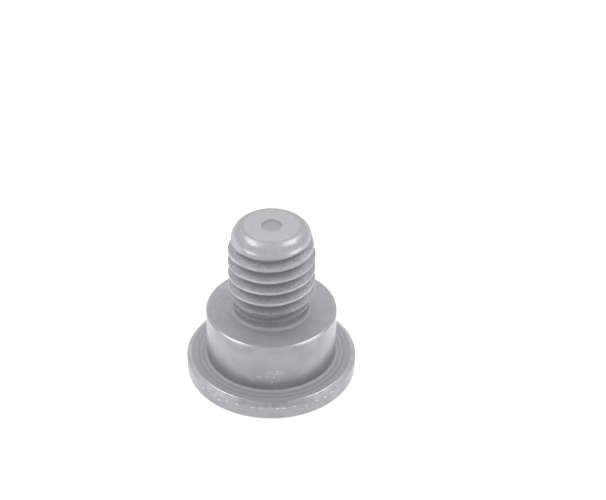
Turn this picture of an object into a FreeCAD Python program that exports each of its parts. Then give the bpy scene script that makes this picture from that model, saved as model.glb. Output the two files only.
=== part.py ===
import FreeCAD, Part
import math
import os
from FreeCAD import Vector

# Shoulder screw, all in millimetres. It stands on its low round head at z = 0, and the
# shoulder, the neck and the threaded end rise along +Z. The front is towards -Y.

# Head: a low flange with a shallow bevel round its rim
HEAD_D = 15.75
HEAD_H = 1.62
RIM_BEVEL_W = 0.45
RIM_BEVEL_H = 0.30
RIM_BREAK = 0.10

# Shoulder: the plain ground journal between the head and the thread
SHOULDER_D = 12.0
SHOULDER_L = 5.06
SHOULDER_FOOT_BEVEL = 0.20
SHOULDER_TOP_ROUND = 0.18

# Thread: M8 coarse, right-hand, one start. In front, its uppermost root lies below the end
# face. The run-outs are in turns of the thread.
THREAD_D = 7.88
PITCH = 1.25
CREST_BREAK = 0.05
FRONT_ROOT_DEPTH = 1.57
NOSE_RUN_OUT = 0.15
NECK_RUN_OUT = 0.45
TURNS_PAST_FRONT = 0.82
RUN_OUT_CLEAR = 0.08

# Threaded end above the shoulder: the neck, the taper of the first crests and the nose
THREADED_L = 9.08
NECK_D = 6.9
NECK_H = 0.60
NECK_ROUND = 0.25
NECK_TAPER_H = 1.65
GROOVE_OFF_SHOULDER = 0.12
NOSE_D = 7.26
NOSE_H = 1.45
NOSE_TAPER_H = 1.15
NOSE_ROUND = 1.40
NOSE_EDGE_DEG = 4
DIMPLE_D = 1.86
DIMPLE_FLOOR_D = 1.67
DIMPLE_DEPTH = 0.14

# Hex socket in the head, 5 mm across flats
SOCKET_AF = 5.0
SOCKET_DEPTH = 3.6
SOCKET_MOUTH_D = 6.2

head_r = HEAD_D / 2
shoulder_r = SHOULDER_D / 2
shoulder_z = HEAD_H + SHOULDER_L
end_z = shoulder_z + THREADED_L
crest_r = THREAD_D / 2
sharp_v_h = PITCH * math.cos(math.radians(30))
root_r = crest_r - sharp_v_h * 17 / 24
neck_r = NECK_D / 2
nose_r = NOSE_D / 2


def profile_arc(centre_r, centre_z, radius, start_deg, end_deg):
    # A round of the profile in the XZ plane, angles counted from +X towards +Z
    middle_deg = (start_deg + end_deg) / 2
    points = []
    for angle in (start_deg, middle_deg, end_deg):
        turn = math.radians(angle)
        points.append(Vector(centre_r + radius * math.cos(turn), 0, centre_z + radius * math.sin(turn)))
    return Part.Arc(points[0], points[1], points[2]).toShape()


def profile_line(from_r, from_z, to_r, to_z):
    return Part.makeLine(Vector(from_r, 0, from_z), Vector(to_r, 0, to_z))


# The turned blank: one profile from the axis under the head to the axis at the end face
taper_foot_z = shoulder_z + NECK_H
taper_top_z = taper_foot_z + NECK_TAPER_H
nose_foot_z = end_z - NOSE_H
nose_edge = math.radians(NOSE_EDGE_DEG)
nose_round_r = nose_r - NOSE_ROUND
nose_round_z = end_z - NOSE_ROUND * math.cos(nose_edge)
end_flat_r = nose_round_r + NOSE_ROUND * math.sin(nose_edge)
rim_wall_z = HEAD_H - RIM_BEVEL_H
rim_flat_r = head_r - RIM_BEVEL_W
shoulder_foot_z = HEAD_H + SHOULDER_FOOT_BEVEL
shoulder_foot_r = shoulder_r + SHOULDER_FOOT_BEVEL
shoulder_wall_top_z = shoulder_z - SHOULDER_TOP_ROUND
shoulder_flat_r = shoulder_r - SHOULDER_TOP_ROUND

blank_edges = [
    profile_line(0, 0, head_r - RIM_BREAK, 0),
    profile_line(head_r - RIM_BREAK, 0, head_r, RIM_BREAK),
    profile_line(head_r, RIM_BREAK, head_r, rim_wall_z),
    profile_line(head_r, rim_wall_z, rim_flat_r, HEAD_H),
    profile_line(rim_flat_r, HEAD_H, shoulder_foot_r, HEAD_H),
    profile_line(shoulder_foot_r, HEAD_H, shoulder_r, shoulder_foot_z),
    profile_line(shoulder_r, shoulder_foot_z, shoulder_r, shoulder_wall_top_z),
    profile_arc(shoulder_flat_r, shoulder_wall_top_z, SHOULDER_TOP_ROUND, 0, 90),
    profile_line(shoulder_flat_r, shoulder_z, neck_r + NECK_ROUND, shoulder_z),
    profile_arc(neck_r + NECK_ROUND, shoulder_z + NECK_ROUND, NECK_ROUND, 270, 180),
    profile_line(neck_r, shoulder_z + NECK_ROUND, neck_r, taper_foot_z),
    profile_line(neck_r, taper_foot_z, crest_r, taper_top_z),
    profile_line(crest_r, taper_top_z, crest_r, nose_foot_z - NOSE_TAPER_H),
    profile_line(crest_r, nose_foot_z - NOSE_TAPER_H, nose_r, nose_foot_z),
    profile_line(nose_r, nose_foot_z, nose_r, nose_round_z),
    profile_arc(nose_round_r, nose_round_z, NOSE_ROUND, 0, 90 - NOSE_EDGE_DEG),
    profile_line(end_flat_r, end_z, 0, end_z),
    profile_line(0, end_z, 0, 0),
]
blank_face = Part.Face(Part.Wire(blank_edges))
blank = blank_face.revolve(Vector(0, 0, 0), Vector(0, 0, 1), 360)

# The thread groove: a 60 degree section with a flat root, swept along a right-hand
# helix. It runs out at both ends, where the sweep rises out of the metal.
crest_flat = PITCH / 8
groove_half = (PITCH - crest_flat) / 2
flank_slope = math.tan(math.radians(30))
cut_r = crest_r + CREST_BREAK
break_r = crest_r - CREST_BREAK
break_half = groove_half - CREST_BREAK * flank_slope
cut_half = break_half + (cut_r - break_r)
root_half = groove_half - (crest_r - root_r) * flank_slope

front_z = end_z - FRONT_ROOT_DEPTH
low_z = shoulder_z + cut_half + GROOVE_OFF_SHOULDER
low_turn = (low_z - front_z) / PITCH
high_turn = TURNS_PAST_FRONT
taper_r = neck_r + (crest_r - neck_r) * (low_z - taper_foot_z) / NECK_TAPER_H
low_rise = taper_r + RUN_OUT_CLEAR - root_r
high_rise = nose_r + RUN_OUT_CLEAR - root_r


def groove_rise(turn):
    # How far the groove has come out of the metal at this turn of the helix
    low = (low_turn + NECK_RUN_OUT - turn) / NECK_RUN_OUT
    high = (turn - high_turn + NOSE_RUN_OUT) / NOSE_RUN_OUT
    if low > 0:
        return low_rise * low * low
    if high > 0:
        return high_rise * high * high
    return 0


helix_points = []
half_turns = math.ceil(2 * (high_turn - low_turn))
steps = 8 * half_turns
for step in range(steps + 1):
    turn = low_turn + (high_turn - low_turn) * step / steps
    angle = 2 * math.pi * turn - math.pi / 2
    radius = root_r + groove_rise(turn)
    helix_points.append(Vector(radius * math.cos(angle), radius * math.sin(angle), front_z + turn * PITCH))
helix = Part.BSplineCurve()
helix.interpolate(helix_points)
helix_edges = []
for half_turn in range(half_turns):
    first = helix.FirstParameter + (helix.LastParameter - helix.FirstParameter) * half_turn / half_turns
    last = helix.FirstParameter + (helix.LastParameter - helix.FirstParameter) * (half_turn + 1) / half_turns
    helix_edges.append(helix.toShape(first, last))

start_angle = 2 * math.pi * low_turn - math.pi / 2
start_rise = groove_rise(low_turn)


def groove_point(at_r, offset_z):
    # A point of the groove's section, set where the helix begins
    from_axis = at_r + start_rise
    return Vector(from_axis * math.cos(start_angle), from_axis * math.sin(start_angle), low_z + offset_z)


groove_edges = [
    Part.makeLine(groove_point(root_r, -root_half), groove_point(root_r, root_half)),
    Part.makeLine(groove_point(root_r, root_half), groove_point(break_r, break_half)),
    Part.makeLine(groove_point(break_r, break_half), groove_point(cut_r, cut_half)),
    Part.makeLine(groove_point(cut_r, cut_half), groove_point(cut_r, -cut_half)),
    Part.makeLine(groove_point(cut_r, -cut_half), groove_point(break_r, -break_half)),
    Part.makeLine(groove_point(break_r, -break_half), groove_point(root_r, -root_half)),
]
sweep = Part.BRepOffsetAPI.MakePipeShell(Part.Wire(helix_edges))
sweep.setBiNormalMode(Vector(0, 0, 1))
sweep.add(Part.Wire(groove_edges), False, False)
sweep.build()
sweep.makeSolid()
groove = sweep.shape()

# The small round mark in the end face
dimple_z = end_z - DIMPLE_DEPTH
dimple = Part.makeCone(DIMPLE_FLOOR_D / 2, DIMPLE_D / 2, DIMPLE_DEPTH, Vector(0, 0, dimple_z))

# The hex socket in the head: a chamfered mouth, six flats and a drilled point
hex_corner_r = SOCKET_AF / 2 / math.cos(math.radians(30))
hex_points = []
for corner in range(7):
    angle = math.radians(60 * corner)
    hex_points.append(Vector(hex_corner_r * math.cos(angle), hex_corner_r * math.sin(angle), 0))
hex_flats = Part.Face(Part.makePolygon(hex_points)).extrude(Vector(0, 0, SOCKET_DEPTH))
drill_point = Part.makeCone(SOCKET_AF / 2, 0, SOCKET_AF / 2 * flank_slope, Vector(0, 0, SOCKET_DEPTH))
mouth_h = (SOCKET_MOUTH_D - SOCKET_AF) / 2
mouth = Part.makeCone(SOCKET_MOUTH_D / 2, SOCKET_AF / 2, mouth_h, Vector(0, 0, 0))

screw = blank.cut(groove)
screw = screw.cut(dimple)
screw = screw.cut(hex_flats.fuse([drill_point, mouth]))
screw = screw.removeSplitter()

os.makedirs("parts", exist_ok=True)
screw.exportStep("parts/shoulder_screw.step")
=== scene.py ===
import math
import bpy
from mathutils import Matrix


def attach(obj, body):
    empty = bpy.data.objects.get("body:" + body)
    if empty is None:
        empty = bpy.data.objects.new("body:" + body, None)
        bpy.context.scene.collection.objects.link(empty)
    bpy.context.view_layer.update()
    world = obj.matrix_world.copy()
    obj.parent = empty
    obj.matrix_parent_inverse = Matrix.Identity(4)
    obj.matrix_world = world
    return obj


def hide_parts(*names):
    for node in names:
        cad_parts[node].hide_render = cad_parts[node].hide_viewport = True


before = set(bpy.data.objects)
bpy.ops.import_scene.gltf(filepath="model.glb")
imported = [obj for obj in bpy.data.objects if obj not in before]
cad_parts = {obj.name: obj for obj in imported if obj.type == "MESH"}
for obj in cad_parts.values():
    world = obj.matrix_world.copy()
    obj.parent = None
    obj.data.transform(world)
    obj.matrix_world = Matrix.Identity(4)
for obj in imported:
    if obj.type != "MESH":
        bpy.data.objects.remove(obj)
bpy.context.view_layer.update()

# The blank: head, shoulder, neck and nose are turned from one steel bar, so they are drawn up
# ring by ring from the head's outer face, on which the screw stands. Sizes are in millimetres,
# and every ring is set down in metres.
MM = 0.001
RING_SEGMENTS = 192
HEAD_R = 7.87
HEAD_H = 1.62
RIM_BREAK = 0.10
RIM_BEVEL_W = 0.45
RIM_BEVEL_H = 0.30
RIM_EDGE_ROUND = 0.12
TOOL_RINGS = (7.31, 7.03, 6.66)
TOOL_RING_HALF = 0.07
TOOL_RING_DEPTH = 0.016
SHOULDER_R = 6.0
SHOULDER_TOP = 6.68
SHOULDER_FOOT = 0.20
SHOULDER_ROUND = 0.24
NECK_R = 3.45
NECK_ROUND = 0.25
NECK_H = 0.60
NECK_TAPER_H = 1.65
CREST_R = 3.94
END_Z = 15.76
NOSE_R = 3.63
NOSE_H = 1.45
NOSE_TAPER_H = 1.15
NOSE_ROUND = 1.40
NOSE_EDGE_DEG = 4
DIMPLE_R = 0.93
DIMPLE_FLOOR_R = 0.835
DIMPLE_DEPTH = 0.14
rim_wall_top = HEAD_H - RIM_BEVEL_H
rim_flat_r = HEAD_R - RIM_BEVEL_W
bevel_deg = math.degrees(math.atan2(RIM_BEVEL_H, RIM_BEVEL_W))
rim_round_r = rim_flat_r - RIM_EDGE_ROUND * math.tan(math.radians(bevel_deg / 2))
shoulder_round_z = SHOULDER_TOP - SHOULDER_ROUND
taper_foot_z = SHOULDER_TOP + NECK_H
taper_top_z = taper_foot_z + NECK_TAPER_H
nose_foot_z = END_Z - NOSE_H
nose_taper_z = nose_foot_z - NOSE_TAPER_H
nose_round_z = END_Z - NOSE_ROUND * math.cos(math.radians(NOSE_EDGE_DEG))

bpy.ops.object.select_all(action="DESELECT")
bpy.ops.mesh.primitive_circle_add(
    vertices=RING_SEGMENTS, radius=(HEAD_R - RIM_BREAK) * MM, fill_type="NGON", location=(0, 0, 0)
)
screw = bpy.context.object
screw.name = "steel_shoulder_screw"
bpy.ops.object.mode_set(mode="EDIT")
ring = {"r": HEAD_R - RIM_BREAK, "z": 0.0}


def draw_ring(radius, height):
    # Extrudes the blank's top face to the next radius and height
    bpy.ops.mesh.extrude_region_move(
        TRANSFORM_OT_translate={"value": (0, 0, (height - ring["z"]) * MM)}
    )
    wider = radius / ring["r"]
    bpy.ops.transform.resize(value=(wider, wider, 1), center_override=(0, 0, height * MM))
    ring["r"] = radius
    ring["z"] = height


def draw_round(centre_r, centre_z, radius, first_deg, last_deg, steps):
    # Rings along a round, angles counted from outwards to upwards
    for step in range(steps + 1):
        turn = math.radians(first_deg + (last_deg - first_deg) * step / steps)
        draw_ring(centre_r + radius * math.cos(turn), centre_z + radius * math.sin(turn))


draw_round(HEAD_R - RIM_BREAK, RIM_BREAK, RIM_BREAK, 270, 360, steps=5)
draw_ring(HEAD_R, rim_wall_top)
draw_round(rim_round_r, HEAD_H - RIM_EDGE_ROUND, RIM_EDGE_ROUND, 90 - bevel_deg, 90, steps=3)
for tool_r in TOOL_RINGS:
    draw_ring(tool_r + TOOL_RING_HALF, HEAD_H)
    draw_ring(tool_r, HEAD_H - TOOL_RING_DEPTH)
    draw_ring(tool_r - TOOL_RING_HALF, HEAD_H)
draw_round(SHOULDER_R + SHOULDER_FOOT, HEAD_H + SHOULDER_FOOT, SHOULDER_FOOT, 270, 180, steps=6)
draw_round(SHOULDER_R - SHOULDER_ROUND, shoulder_round_z, SHOULDER_ROUND, 0, 90, steps=8)
draw_round(NECK_R + NECK_ROUND, SHOULDER_TOP + NECK_ROUND, NECK_ROUND, 270, 180, steps=6)
draw_ring(NECK_R, taper_foot_z)
draw_ring(CREST_R, taper_top_z)
draw_ring(CREST_R, nose_taper_z)
draw_ring(NOSE_R, nose_foot_z)
draw_round(NOSE_R - NOSE_ROUND, nose_round_z, NOSE_ROUND, 0, 90 - NOSE_EDGE_DEG, steps=14)
draw_ring(DIMPLE_R, END_Z)
draw_ring(DIMPLE_FLOOR_R, END_Z - DIMPLE_DEPTH)
bpy.ops.mesh.select_all(action="SELECT")
bpy.ops.mesh.normals_make_consistent(inside=False)
bpy.ops.object.mode_set(mode="OBJECT")

# The thread: a rolled right-hand M8 groove. Its 60 degree section is a plane stood on edge and
# widened outwards, carried round and up by a screw, and cut out of the blank. At both ends the
# groove rises out of the metal, over the run-outs, which are in turns.
PITCH = 1.25
CREST_FLAT = PITCH / 8
THREAD_DEPTH = PITCH * math.cos(math.radians(30)) * 17 / 24
ROOT_R = CREST_R - THREAD_DEPTH
CREST_EDGE = 0.05
FRONT_ROOT_Z = END_Z - 1.57
TURNS_PAST_FRONT = 0.82
OFF_SHOULDER = 0.12
NECK_RUN_OUT = 0.45
NOSE_RUN_OUT = 0.15
RUN_OUT_CLEAR = 0.08
STEPS_PER_TURN = 96
FLANK = math.tan(math.radians(30))
groove_half = (PITCH - CREST_FLAT) / 2
edge_half = groove_half - CREST_EDGE * FLANK
outer_half = edge_half + 2 * CREST_EDGE
root_half = groove_half - THREAD_DEPTH * FLANK
edge_r = CREST_R - CREST_EDGE
low_z = SHOULDER_TOP + outer_half + OFF_SHOULDER
low_turn = (low_z - FRONT_ROOT_Z) / PITCH
groove_turns = TURNS_PAST_FRONT - low_turn


def pick(piece, elements, wanted):
    # Goes into edit mode with only the wanted faces, edges or vertices of the piece selected
    if bpy.context.mode != "OBJECT":
        bpy.ops.object.mode_set(mode="OBJECT")
    bpy.ops.object.select_all(action="DESELECT")
    bpy.context.view_layer.objects.active = piece
    piece.select_set(True)
    bpy.ops.object.mode_set(mode="EDIT")
    bpy.ops.mesh.select_mode(type={"vertices": "VERT", "edges": "EDGE", "polygons": "FACE"}[elements])
    bpy.ops.mesh.select_all(action="DESELECT")
    bpy.ops.object.mode_set(mode="OBJECT")
    for element in getattr(piece.data, elements):
        element.select = wanted(element)
    bpy.ops.object.mode_set(mode="EDIT")


def edge_reach(piece, edge):
    # The nearest and farthest of an edge's two ends along X, in millimetres
    ends = [piece.data.vertices[index].co.x / MM for index in edge.vertices]
    return min(ends), max(ends)


bpy.ops.object.select_all(action="DESELECT")
bpy.ops.mesh.primitive_plane_add(
    size=2 * root_half * MM,
    rotation=(math.radians(90), 0, 0),
    location=((ROOT_R + root_half) * MM, 0, 0),
)
groove = bpy.context.object
groove.name = "thread_groove"
bpy.ops.object.transform_apply(location=True, rotation=True, scale=True)
pick(groove, "edges", lambda edge: edge_reach(groove, edge)[0] > ROOT_R + root_half)
bpy.ops.transform.translate(value=((edge_r - ROOT_R - 2 * root_half) * MM, 0, 0))
bpy.ops.transform.resize(value=(1, 1, edge_half / root_half), center_override=(0, 0, 0))
bpy.ops.mesh.extrude_region_move(TRANSFORM_OT_translate={"value": (2 * CREST_EDGE * MM, 0, 0)})
bpy.ops.transform.resize(value=(1, 1, outer_half / edge_half), center_override=(0, 0, 0))
pick(groove, "edges", lambda edge: abs(sum(edge_reach(groove, edge)) / 2 - edge_r) < CREST_EDGE / 2)
bpy.ops.mesh.dissolve_edges(use_verts=False)
bpy.ops.mesh.select_all(action="SELECT")
bpy.ops.mesh.delete(type="ONLY_FACE")
bpy.ops.object.mode_set(mode="OBJECT")

groove_screw = groove.modifiers.new("groove_screw", "SCREW")
groove_screw.axis = "Z"
groove_screw.angle = 2 * math.pi * groove_turns
groove_screw.screw_offset = PITCH * groove_turns * MM
groove_screw.steps = math.ceil(STEPS_PER_TURN * groove_turns)
groove_screw.render_steps = groove_screw.steps
bpy.ops.object.modifier_apply(modifier="groove_screw")
groove.rotation_euler.z = 2 * math.pi * low_turn - math.pi / 2
groove.location.z = low_z * MM
bpy.ops.object.transform_apply(location=True, rotation=True, scale=True)
pick(groove, "vertices", lambda vertex: True)
bpy.ops.mesh.fill_holes(sides=0)
bpy.ops.mesh.normals_make_consistent(inside=False)
bpy.ops.object.mode_set(mode="OBJECT")

# Each end cap of the groove is widened past the metal, and draws the turns beside it along
taper_r = NECK_R + (CREST_R - NECK_R) * (low_z - SHOULDER_TOP - NECK_H) / NECK_TAPER_H
mid_z = (SHOULDER_TOP + END_Z) / 2
for is_neck, metal_r, run_out in ((True, taper_r, NECK_RUN_OUT), (False, NOSE_R, NOSE_RUN_OUT)):
    pick(
        groove,
        "polygons",
        lambda face: len(face.vertices) > 4 and (face.center.z < mid_z * MM) == is_neck,
    )
    rise = (metal_r + RUN_OUT_CLEAR) / ROOT_R
    bpy.ops.transform.resize(
        value=(rise, rise, 1),
        center_override=(0, 0, 0),
        use_proportional_edit=True,
        use_proportional_connected=True,
        proportional_edit_falloff="SHARP",
        proportional_size=2 * math.pi * run_out * CREST_R * MM,
    )
bpy.ops.object.mode_set(mode="OBJECT")


def cut_out(piece, cutter):
    # Takes the cutter's shape out of the piece, and removes the cutter
    bpy.ops.object.select_all(action="DESELECT")
    bpy.context.view_layer.objects.active = piece
    piece.select_set(True)
    cut = piece.modifiers.new("cut", "BOOLEAN")
    cut.operation = "DIFFERENCE"
    cut.solver = "MANIFOLD"
    cut.object = cutter
    bpy.ops.object.modifier_apply(modifier="cut")
    bpy.data.objects.remove(cutter)


cut_out(screw, groove)

# The drive: a broached 5 mm hex socket in the head's outer face, with a countersunk mouth and
# the point that its drill left. It is hidden while the screw stands on its head.
SOCKET_AF = 5.0
SOCKET_DEPTH = 3.6
SOCKET_MOUTH_R = 3.1
DRILL_SEGMENTS = 96
socket_corner_r = SOCKET_AF / 2 / math.cos(math.radians(30))
mouth_h = SOCKET_MOUTH_R - SOCKET_AF / 2
point_h = SOCKET_AF / 2 * FLANK
bpy.ops.object.select_all(action="DESELECT")
bpy.ops.mesh.primitive_cylinder_add(
    vertices=6,
    radius=socket_corner_r * MM,
    depth=2 * SOCKET_DEPTH * MM,
    rotation=(0, 0, math.radians(30)),
)
cut_out(screw, bpy.context.object)
bpy.ops.mesh.primitive_cone_add(
    vertices=DRILL_SEGMENTS,
    radius1=SOCKET_AF / 2 * MM,
    radius2=0,
    depth=point_h * MM,
    location=(0, 0, (SOCKET_DEPTH + point_h / 2) * MM),
)
cut_out(screw, bpy.context.object)
bpy.ops.mesh.primitive_cone_add(
    vertices=DRILL_SEGMENTS,
    radius1=(SOCKET_MOUTH_R + mouth_h) * MM,
    radius2=(SOCKET_MOUTH_R - mouth_h) * MM,
    depth=2 * mouth_h * MM,
)
cut_out(screw, bpy.context.object)

# Knocks: the rim was knocked in the bin, so small dents lie along the upper edge of its wall and
# a few lower down. Each is the shallow bite of a ball that is drawn out along the rim, given by
# its bearing from the front in degrees, its height and the ball's radius in millimetres.
KNOCKS = (
    (-51.6, 1.10, 0.14), (-40.2, 1.15, 0.16), (-36.9, 0.87, 0.11), (-30.6, 1.10, 0.15), (-23.3, 1.22, 0.17),
    (-12.4, 1.20, 0.20), (-6.9, 1.24, 0.10), (4.2, 1.21, 0.12), (8.3, 1.19, 0.19), (15.2, 1.22, 0.15),
    (24, 0.95, 0.09), (32, 1.18, 0.12), (38.5, 1.12, 0.20), (44.4, 1.23, 0.17), (61, 1.18, 0.13),
)
KNOCK_BITE = 0.05
KNOCK_SHAPE = (1.7, 1.0, 0.6)
bpy.ops.object.select_all(action="DESELECT")
balls = []
for bearing, height, ball_r in KNOCKS:
    turn = math.radians(bearing)
    out = HEAD_R - KNOCK_BITE + ball_r
    bpy.ops.mesh.primitive_uv_sphere_add(
        segments=20,
        ring_count=12,
        radius=ball_r * MM,
        location=(out * math.sin(turn) * MM, -out * math.cos(turn) * MM, height * MM),
        rotation=(0, 0, turn),
    )
    bpy.context.object.scale = KNOCK_SHAPE
    balls.append(bpy.context.object)
for ball in balls:
    ball.select_set(True)
bpy.ops.object.transform_apply(location=True, rotation=True, scale=True)
bpy.ops.object.join()
cut_out(screw, bpy.context.object)

# Shading: the rounds read as smooth, and the edges of thread, bevel and socket stay crisp
CRISP_DEG = 28
bpy.ops.object.select_all(action="DESELECT")
bpy.context.view_layer.objects.active = screw
screw.select_set(True)
bpy.ops.object.shade_smooth_by_angle(angle=math.radians(CRISP_DEG), keep_sharp_edges=False)
even = screw.modifiers.new("even_shading", "WEIGHTED_NORMAL")
even.keep_sharp = True
bpy.ops.object.modifier_apply(modifier="even_shading")

# Finishes: bare carbon steel, as each tool left it. Every pattern is sized in millimetres of the
# real surface. Cloudy noise keeps mostly between these two values, so a colour or a roughness
# goes from one end to the other between them.
NOISE_LOW = 0.3
NOISE_HIGH = 0.7


def steel_colour(hex_code):
    # A colour as it is seen on a screen, turned into the linear one that the shader takes
    linear = []
    for start in (1, 3, 5):
        share = int(hex_code[start:start + 2], 16) / 255
        linear.append(share / 12.92 if share <= 0.04045 else ((share + 0.055) / 1.055) ** 2.4)
    return (*linear, 1)


def add_node(tree, kind, settings=None, values=None):
    # Adds one node with its settings. A value that is another node's output becomes a link.
    node = tree.nodes.new(kind)
    for name, value in (settings or {}).items():
        setattr(node, name, value)
    for name, value in (values or {}).items():
        if isinstance(value, bpy.types.NodeSocket):
            tree.links.new(value, node.inputs[name])
        else:
            node.inputs[name].default_value = value
    return node


def new_finish(name):
    # A new finish on the screw, still empty
    finish = bpy.data.materials.new(name)
    finish.use_nodes = True
    finish.node_tree.nodes.clear()
    screw.data.materials.append(finish)
    return finish.node_tree


def spots(tree, size_mm, stretch=(1, 1, 1), detail=3.0):
    # Cloudy noise whose spots are about this wide, drawn out along X, Y and Z by the stretch
    place = add_node(tree, "ShaderNodeTexCoord")
    scaled = add_node(tree, "ShaderNodeMapping", values={
        "Vector": place.outputs["Object"],
        "Scale": [1 / (size_mm * MM * part) for part in stretch],
    })
    noise = add_node(tree, "ShaderNodeTexNoise", values={
        "Vector": scaled.outputs["Vector"],
        "Scale": 1.0,
        "Detail": detail,
    })
    return noise.outputs["Fac"]


def axis_distance(tree):
    # How far the surface is from the screw's axis, in millimetres
    place = add_node(tree, "ShaderNodeTexCoord")
    level = add_node(tree, "ShaderNodeVectorMath", {"operation": "MULTIPLY"}, {
        0: place.outputs["Object"],
        1: (1 / MM, 1 / MM, 0),
    })
    reach = add_node(tree, "ShaderNodeVectorMath", {"operation": "LENGTH"}, {0: level.outputs["Vector"]})
    return reach.outputs["Value"]


def aside(tree):
    # How far round the surface is from front and back: 0 there, and 1 at the far left and right
    place = add_node(tree, "ShaderNodeTexCoord")
    level = add_node(tree, "ShaderNodeVectorMath", {"operation": "MULTIPLY"}, {
        0: place.outputs["Object"],
        1: (1, 1, 0),
    })
    outward = add_node(tree, "ShaderNodeVectorMath", {"operation": "NORMALIZE"}, {
        0: level.outputs["Vector"],
    })
    apart = add_node(tree, "ShaderNodeSeparateXYZ", values={"Vector": outward.outputs["Vector"]})
    share = add_node(tree, "ShaderNodeMath", {"operation": "ABSOLUTE"}, {0: apart.outputs["X"]})
    return share.outputs[0]


def rings(tree, pitch_mm):
    # Uneven rings round the axis, about this far apart
    noise = add_node(tree, "ShaderNodeTexNoise", {"noise_dimensions": "1D"}, {
        "W": axis_distance(tree),
        "Scale": 1 / pitch_mm,
        "Detail": 2.0,
    })
    return noise.outputs["Fac"]


def shades(tree, pattern, first, second, low=NOISE_LOW, high=NOISE_HIGH):
    # Goes from the first colour to the second while the pattern goes from low to high. A colour
    # is a hex code or another pattern of colours.
    share = add_node(tree, "ShaderNodeMapRange", values={
        "Value": pattern, "From Min": low, "From Max": high,
    })
    ends = [steel_colour(colour) if isinstance(colour, str) else colour for colour in (first, second)]
    mix = add_node(tree, "ShaderNodeMix", {"data_type": "RGBA"}, {
        0: share.outputs[0], 6: ends[0], 7: ends[1],
    })
    return mix.outputs[2]


def bare_steel(tree, colour, sheen, relief, metallic=1.0, edge=1.0):
    # Bare metal of this colour. The sheen is a pattern and the roughness at its two ends. The
    # relief is the patterns that raise the surface, the lowest first, with their depths in
    # millimetres. A dull film lowers the metallic part, and worn metal shines less when it is
    # seen edge on, which the edge share gives.
    pattern, first_rough, last_rough = sheen
    roughness = add_node(tree, "ShaderNodeMapRange", values={
        "Value": pattern, "From Min": NOISE_LOW, "From Max": NOISE_HIGH,
        "To Min": first_rough, "To Max": last_rough,
    })
    raised = {}
    for height, depth_mm in relief:
        bump = add_node(tree, "ShaderNodeBump", values={
            "Height": height, "Distance": depth_mm * MM, "Strength": 1.0, **raised,
        })
        raised = {"Normal": bump.outputs["Normal"]}
    shader = add_node(tree, "ShaderNodeBsdfPrincipled", values={
        "Base Color": colour,
        "Metallic": metallic,
        "Specular Tint": (edge, edge, edge, 1),
        "Roughness": roughness.outputs[0],
        **raised,
    })
    add_node(tree, "ShaderNodeOutputMaterial", values={"Surface": shader.outputs["BSDF"]})


screw.data.materials.clear()

# Ground steel on the walls of shoulder and rim: fine level lines, and soft blotches where oil
# dried. Ground lines are 0.02 mm apart, drawn as coarse as 0.11 mm to show. Bright specks of dust
# lie close together low on the shoulder's front, and are rare elsewhere.
SPECK_APART = 0.24
DUSTY_PLACE = (0.2, -6.0, 3.1)
DUSTY_CORE_R = 0.4
DUSTY_END_R = 1.8
tree = new_finish("ground_steel_walls")
blotch = spots(tree, size_mm=1.6, detail=2.0)
lines = spots(tree, size_mm=0.11, stretch=(24, 24, 1), detail=2.0)
place = add_node(tree, "ShaderNodeTexCoord")
cell = add_node(tree, "ShaderNodeTexVoronoi", values={
    "Vector": place.outputs["Object"],
    "Scale": 1 / (SPECK_APART * MM),
})
kept = add_node(tree, "ShaderNodeMapRange", values={
    "Value": cell.outputs["Color"], "From Min": 0.46, "From Max": 0.47,
})
speck = add_node(tree, "ShaderNodeMapRange", values={
    "Value": cell.outputs["Distance"], "From Min": 0.20, "From Max": 0.34, "To Min": 1, "To Max": 0,
})
from_dust = add_node(tree, "ShaderNodeVectorMath", {"operation": "DISTANCE"}, {
    0: place.outputs["Object"],
    1: [part * MM for part in DUSTY_PLACE],
})
dust = add_node(tree, "ShaderNodeMapRange", values={
    "Value": from_dust.outputs["Value"], "From Min": DUSTY_CORE_R * MM, "From Max": DUSTY_END_R * MM,
    "To Min": 0.40, "To Max": 0,
})
cloud = add_node(tree, "ShaderNodeMath", {"operation": "ADD"}, {
    0: spots(tree, size_mm=1.2, detail=2.0),
    1: dust.outputs[0],
})
dirty = add_node(tree, "ShaderNodeMapRange", values={
    "Value": cloud.outputs[0], "From Min": 0.65, "From Max": 0.71,
})
kept_speck = add_node(tree, "ShaderNodeMath", {"operation": "MULTIPLY"}, {
    0: kept.outputs[0],
    1: speck.outputs[0],
})
dirt = add_node(tree, "ShaderNodeMath", {"operation": "MULTIPLY"}, {
    0: dirty.outputs[0],
    1: kept_speck.outputs[0],
})
clean = shades(tree, blotch, "#A8A8AB", "#B2B2B5", low=0.35, high=0.65)
bare_steel(
    tree,
    colour=shades(tree, dirt.outputs[0], clean, "#E4E4E6", low=0, high=1),
    sheen=(lines, 0.28, 0.40),
    relief=[(blotch, 0.003), (lines, 0.0009)],
)

# Faced steel on the flats: rings left by the facing tool, feed 0.1 mm, drawn as coarse as 0.2 mm
# to show, under a dull tumbled grain
tree = new_finish("faced_steel_flats")
grain = spots(tree, size_mm=0.22, detail=4.0)
bare_steel(
    tree,
    colour=shades(tree, spots(tree, size_mm=1.9, detail=2.0), "#AEAEB1", "#B8B8BA"),
    sheen=(grain, 0.60, 0.76),
    relief=[(grain, 0.004), (rings(tree, pitch_mm=0.20), 0.006)],
)

# Turned steel on the flange and round the neck's foot: the same facing, but under a dull film of
# oil, with rings cut unevenly deep. Round the neck's foot this darker, duller finish is painted
# shade in the crease.
tree = new_finish("turned_steel_flange")
feed = rings(tree, pitch_mm=0.24)
grain = spots(tree, size_mm=0.22, detail=4.0)
bare_steel(
    tree,
    colour=shades(tree, feed, "#A0A0A3", "#AEAEB0", low=0.35, high=0.65),
    sheen=(grain, 0.58, 0.74),
    relief=[(grain, 0.004), (feed, 0.005)],
    metallic=0.6,
)
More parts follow.
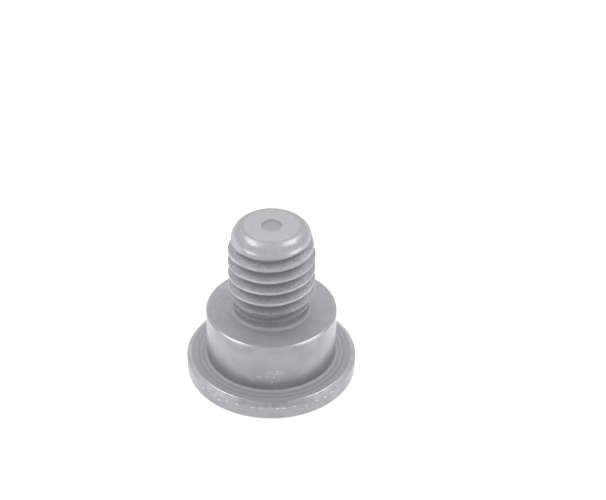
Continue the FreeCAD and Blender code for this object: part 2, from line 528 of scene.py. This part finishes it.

# Steel on the rim's bevel: dark at the front and lighter to the left and right of it, which is
# painted shade and painted sheen for how the light falls round the rim, with blotches all over
tree = new_finish("bevel_steel_painted_shade_and_sheen")
blotch = spots(tree, size_mm=0.7)
grain = spots(tree, size_mm=0.14, stretch=(3, 3, 1))
# Painted sheen: the bevel turns lighter towards the far left and right; the blotches on top are its own
# uneven tone
painted_side_sheen = add_node(tree, "ShaderNodeMapRange", values={
    "Value": aside(tree), "From Min": 0.37, "From Max": 0.84, "To Max": 0.6,
})
worn_spots = add_node(tree, "ShaderNodeMapRange", values={
    "Value": blotch, "From Min": 0.35, "From Max": 0.65, "To Max": 0.4,
})
sheen_and_blotches = add_node(tree, "ShaderNodeMath", {"operation": "ADD"}, {
    0: painted_side_sheen.outputs[0],
    1: worn_spots.outputs[0],
})
bare_steel(
    tree,
    colour=shades(tree, sheen_and_blotches.outputs[0], "#8E8E91", "#B4B4B7", low=0, high=1),
    sheen=(grain, 0.34, 0.50),
    relief=[(blotch, 0.004), (grain, 0.003)],
)

# Rolled steel in the thread: torn grain on the flanks, and one even tone in the roots, where the
# rolls pressed hardest
tree = new_finish("rolled_steel_thread")
grain = spots(tree, size_mm=0.17, detail=4.0)
flank = shades(tree, grain, "#9E9EA1", "#AFAFB2", low=0.35, high=0.65)
bare_steel(
    tree,
    colour=shades(tree, axis_distance(tree), "#A6A6A9", flank, low=3.18, high=3.50),
    sheen=(grain, 0.66, 0.50),
    relief=[(grain, 0.008)],
)

# Burnished steel on the nose, the first crest under it and the shoulder's edge: smooth and
# bright, with faint scratches round the axis
tree = new_finish("burnished_steel_edges")
scratch = spots(tree, size_mm=0.12, stretch=(12, 12, 1))
blotch = spots(tree, size_mm=0.35)
bare_steel(
    tree,
    colour=shades(tree, blotch, "#A6A6A8", "#B2B2B4"),
    sheen=(scratch, 0.23, 0.34),
    relief=[(blotch, 0.009), (scratch, 0.0012)],
    edge=0.8,
)

# Rubbed steel on the thread's crests: the same smooth metal, lighter in colour, partly worn bright by nuts
# and handling and partly a painted highlight along the crest lines
tree = new_finish("crest_steel_wear_and_painted_highlight")
scratch = spots(tree, size_mm=0.15, stretch=(12, 12, 1))
blotch = spots(tree, size_mm=0.8)
bare_steel(
    tree,
    colour=shades(tree, blotch, "#AFAFB1", "#C0C0C2", low=0.35, high=0.65),
    sheen=(scratch, 0.24, 0.36),
    relief=[(blotch, 0.006), (scratch, 0.0010)],
    edge=0.8,
)

# Polished steel on the edges of shoulder and rim, painted bright to the left and right of the
# front as a painted highlight, and duller between
tree = new_finish("polished_steel_edges_painted_highlight")
blotch = spots(tree, size_mm=0.5)
begins = add_node(tree, "ShaderNodeMapRange", values={
    "Value": aside(tree), "From Min": 0.20, "From Max": 0.48,
})
ends = add_node(tree, "ShaderNodeMapRange", values={
    "Value": aside(tree), "From Min": 0.66, "From Max": 0.84, "To Min": 1, "To Max": 0,
})
painted_highlight_share = add_node(tree, "ShaderNodeMath", {"operation": "MULTIPLY"}, {
    0: begins.outputs[0],
    1: ends.outputs[0],
})
bare_steel(
    tree,
    colour=shades(tree, painted_highlight_share.outputs[0], "#9F9FA1", "#CCCCCE", low=0, high=1),
    sheen=(blotch, 0.16, 0.28),
    relief=[(blotch, 0.004)],
)

# Cropped steel on the end: a fine matt grain
tree = new_finish("cropped_steel_end")
grain = spots(tree, size_mm=0.16, detail=4.0)
bare_steel(
    tree,
    colour=shades(tree, grain, "#B1B1B3", "#C0C0C2"),
    sheen=(grain, 0.46, 0.64),
    relief=[(grain, 0.006)],
)

# Punched steel in the round mark: darker and matt
tree = new_finish("punched_steel_mark")
grain = spots(tree, size_mm=0.14)
bare_steel(
    tree,
    colour=shades(tree, grain, "#ABABAD", "#B0B0B2"),
    sheen=(grain, 0.62, 0.72),
    relief=[(grain, 0.003)],
)

# Fresh steel where the rim was knocked: brighter than the worn metal round it, partly as fresh metal and
# partly as a painted glint in the dents
tree = new_finish("knock_steel_fresh_and_painted_glint")
grain = spots(tree, size_mm=0.12, detail=2.0)
bare_steel(
    tree,
    colour=shades(tree, grain, "#C2C2C4", "#E4E4E6"),
    sheen=(grain, 0.25, 0.40),
    relief=[(grain, 0.002)],
)

# Where each finish lies. The walls' finish goes on all faces first, and each later one covers
# what is under it. Heights and distances are in millimetres.
WALLS, FLATS, FLANGE, BEVEL, THREAD, BURNISHED, CRESTS, EDGES, END, MARK, FRESH_AND_GLINT = range(11)
ALL = math.inf
LEVEL = 0.9
NEAR = 0.015
KNOCK_LIP = 0.004
LOWEST_KNOCK_Z = 0.3
FIRST_CREST_H = 0.9


def blank_r(height):
    # The blank's radius over the threaded length, before the groove was rolled in
    if height < taper_top_z:
        return NECK_R + (CREST_R - NECK_R) * (height - taper_foot_z) / NECK_TAPER_H
    if height > nose_taper_z:
        return CREST_R - (CREST_R - NOSE_R) * (height - nose_taper_z) / NOSE_TAPER_H
    return CREST_R


def finish_faces(slot, r=(0, ALL), z=(-ALL, ALL), up=(-ALL, ALL), deep=(-ALL, ALL)):
    # Gives the finish in that slot to the faces that lie in all these ranges: the distance from
    # the axis, the height, how far the face looks up (0 for a wall, 1 for a flat), and the depth
    # under the threaded end's blank
    def wanted(face):
        face_r = math.hypot(face.center.x, face.center.y) / MM
        face_z = face.center.z / MM
        facts = ((face_r, r), (face_z, z), (face.normal.z, up), (blank_r(face_z) - face_r, deep))
        return all(low <= value < high for value, (low, high) in facts)

    pick(screw, "polygons", wanted)
    screw.active_material_index = slot
    bpy.ops.object.material_slot_assign()
    bpy.ops.object.mode_set(mode="OBJECT")


finish_faces(WALLS)
finish_faces(FLATS, z=(-ALL, SHOULDER_TOP + NECK_ROUND), up=(LEVEL, ALL))
finish_faces(FLATS, z=(-ALL, SHOULDER_TOP + NECK_ROUND), up=(-ALL, -LEVEL))
finish_faces(FLANGE, r=(SHOULDER_R, rim_flat_r), z=(HEAD_H - NEAR, HEAD_H + SHOULDER_FOOT))
finish_faces(FRESH_AND_GLINT, r=(HEAD_R - KNOCK_BITE - NEAR, HEAD_R - KNOCK_LIP), z=(LOWEST_KNOCK_Z, rim_wall_top))
finish_faces(THREAD, z=(SHOULDER_TOP + NECK_ROUND / 2, ALL))
# Painted shade: the neck's foot round takes the flange's darker, duller finish
finish_faces(FLANGE, r=(0, NECK_R + NECK_ROUND), z=(SHOULDER_TOP, SHOULDER_TOP + NECK_ROUND))
finish_faces(CRESTS, z=(taper_foot_z, nose_foot_z), deep=(-ALL, CREST_EDGE + NEAR))
finish_faces(BURNISHED, z=(nose_foot_z - FIRST_CREST_H, nose_foot_z), deep=(-ALL, CREST_EDGE + NEAR))
finish_faces(BURNISHED, r=(ROOT_R / 2, ALL), z=(nose_foot_z - NEAR, ALL))
finish_faces(BURNISHED, r=(0, SHOULDER_R), z=(shoulder_round_z, SHOULDER_TOP), up=(0.4, 0.97))
finish_faces(BEVEL, r=(rim_flat_r, ALL), z=(rim_wall_top, HEAD_H), up=(0.5, 0.84))
# Painted highlight: bright arcs on the shoulder's edge and a bright line at the rim bevel's inner edge
finish_faces(EDGES, r=(0, SHOULDER_R), z=(shoulder_round_z, SHOULDER_TOP), up=(0.6, 0.92))
finish_faces(
    EDGES, r=(rim_flat_r - RIM_EDGE_ROUND / 2, rim_flat_r + RIM_EDGE_ROUND / 2), up=(0.84, 0.999)
)
finish_faces(END, r=(DIMPLE_R, ALL), z=(END_Z - NEAR, ALL), up=(0.99, ALL))
finish_faces(MARK, r=(0, DIMPLE_R), z=(END_Z - DIMPLE_DEPTH - NEAR, ALL))
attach(screw, "root")
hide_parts("shoulder_screw")

# The table: a sheet of white paper that the screw stands on, with the screw's shadow on it. The
# camera and reflections in the steel see it glow, with a painted pool of light on it that is
# brightest beside and behind the screw and dimmer in front of it. Light that bounces from it onto
# the screw meets plain pale paper.
TABLE_W = 3.0
PAPER_GREY = 0.30
BOUNCE_GREY = 0.80
GLOW = 0.66
NEAR_PAINTED_POOL = 0.37
FAR_PAINTED_POOL = 0.02
SIDE_PAINTED_POOL = 0.40
bpy.ops.object.select_all(action="DESELECT")
bpy.ops.mesh.primitive_plane_add(size=TABLE_W, location=(0, 0, 0))
table = bpy.context.object
table.name = "table_top"
white = bpy.data.materials.new("white_table")
white.use_nodes = True
tree = white.node_tree
tree.nodes.clear()
rays = add_node(tree, "ShaderNodeLightPath")
camera_or_gloss = add_node(tree, "ShaderNodeMath", {"operation": "MAXIMUM"}, {
    0: rays.outputs["Is Camera Ray"],
    1: rays.outputs["Is Glossy Ray"],
})
seen = add_node(tree, "ShaderNodeMath", {"operation": "MAXIMUM"}, {
    0: camera_or_gloss.outputs[0],
    1: rays.outputs["Is Transmission Ray"],
})
place = add_node(tree, "ShaderNodeTexCoord")
apart = add_node(tree, "ShaderNodeSeparateXYZ", values={"Vector": place.outputs["Object"]})
across = add_node(tree, "ShaderNodeMath", {"operation": "ABSOLUTE"}, {0: apart.outputs["X"]})
# Painted pool of light: the paper glows brighter near the screw and to its sides, and dimmer in front of it
painted_near_pool = add_node(tree, "ShaderNodeMapRange", values={
    "Value": axis_distance(tree), "From Min": 20, "From Max": 45, "To Min": NEAR_PAINTED_POOL, "To Max": FAR_PAINTED_POOL,
})
painted_side_pool = add_node(tree, "ShaderNodeMapRange", values={
    "Value": across.outputs[0], "From Min": 18 * MM, "From Max": 40 * MM, "To Max": SIDE_PAINTED_POOL,
})
past_front = add_node(tree, "ShaderNodeMapRange", values={
    "Value": apart.outputs["Y"], "From Min": -12 * MM, "From Max": 2 * MM,
})
painted_light_pool = add_node(tree, "ShaderNodeMath", {"operation": "ADD"}, {0: painted_near_pool.outputs[0], 1: painted_side_pool.outputs[0]})
glow = add_node(tree, "ShaderNodeMath", {"operation": "MULTIPLY_ADD"}, {
    0: painted_light_pool.outputs[0],
    1: past_front.outputs[0],
    2: GLOW,
})
paper = add_node(tree, "ShaderNodeBsdfDiffuse", values={"Color": (PAPER_GREY, PAPER_GREY, PAPER_GREY, 1)})
shine = add_node(tree, "ShaderNodeEmission", values={"Strength": glow.outputs[0]})
lit = add_node(tree, "ShaderNodeAddShader", values={0: paper.outputs[0], 1: shine.outputs[0]})
bounce = add_node(tree, "ShaderNodeBsdfDiffuse", values={
    "Color": (BOUNCE_GREY, BOUNCE_GREY, BOUNCE_GREY, 1),
})
top = add_node(tree, "ShaderNodeMixShader", values={
    "Fac": seen.outputs[0],
    1: bounce.outputs[0],
    2: lit.outputs[0],
})
add_node(tree, "ShaderNodeOutputMaterial", values={"Surface": top.outputs[0]})
table.data.materials.append(white)

# The room: plain white walls all round, two high soft boxes a little behind the screw's left and
# right, and two low lamps a little in front of them. They stand this far off, in metres.
ROOM_LIGHT = 1.07
LAMP_AWAY = 0.25
LAMP_AIM_H = 0.009
room = bpy.data.worlds.new("pale_room")
bpy.context.scene.world = room
room.use_nodes = True
tree = room.node_tree
tree.nodes.clear()
paint = add_node(tree, "ShaderNodeBackground", values={"Color": (1, 1, 1, 1), "Strength": ROOM_LIGHT})
add_node(tree, "ShaderNodeOutputWorld", values={"Surface": paint.outputs[0]})


def soft_box(name, azimuth, elevation, width, height, brightness):
    # A soft box that shines at the screw. Azimuth 0 is the camera's side, and 90 its right.
    bpy.ops.object.light_add(type="AREA", location=(0, 0, 0))
    box = bpy.context.object
    box.name = name
    box.data.shape = "RECTANGLE"
    box.data.size = width
    box.data.size_y = height
    box.data.energy = math.pi * width * height * brightness
    az = math.radians(azimuth)
    el = math.radians(elevation)
    box.rotation_euler = (math.radians(90) - el, 0, az)
    box.location = (
        LAMP_AWAY * math.sin(az) * math.cos(el),
        -LAMP_AWAY * math.cos(az) * math.cos(el),
        LAMP_AWAY * math.sin(el) + LAMP_AIM_H,
    )


soft_box("left_soft_box", azimuth=-105, elevation=59, width=0.16, height=0.09, brightness=1.35)
soft_box("right_soft_box", azimuth=108, elevation=60, width=0.13, height=0.10, brightness=1.3)
soft_box("low_left_lamp", azimuth=-58, elevation=5, width=0.16, height=0.05, brightness=1.45)
soft_box("low_right_lamp", azimuth=66, elevation=5, width=0.18, height=0.05, brightness=1.65)

# The camera stands in front of the screw and looks down at it, at the photograph's angle
CAMERA_AWAY = 140.0
CAMERA_UP_DEG = 40.158
CAMERA_TURN_DEG = (54.1857, -0.8215, -0.9053)
LENS = 87.93
SENSOR_W = 36
up = math.radians(CAMERA_UP_DEG)
bpy.ops.object.camera_add(
    location=(0, -CAMERA_AWAY * math.cos(up) * MM, CAMERA_AWAY * math.sin(up) * MM),
    rotation=[math.radians(turn_deg) for turn_deg in CAMERA_TURN_DEG],
)
camera = bpy.context.object
camera.data.sensor_width = SENSOR_W
camera.data.lens = LENS
camera.data.clip_start = 0.001
bpy.context.scene.camera = camera
bpy.context.scene.view_settings.view_transform = "Standard"
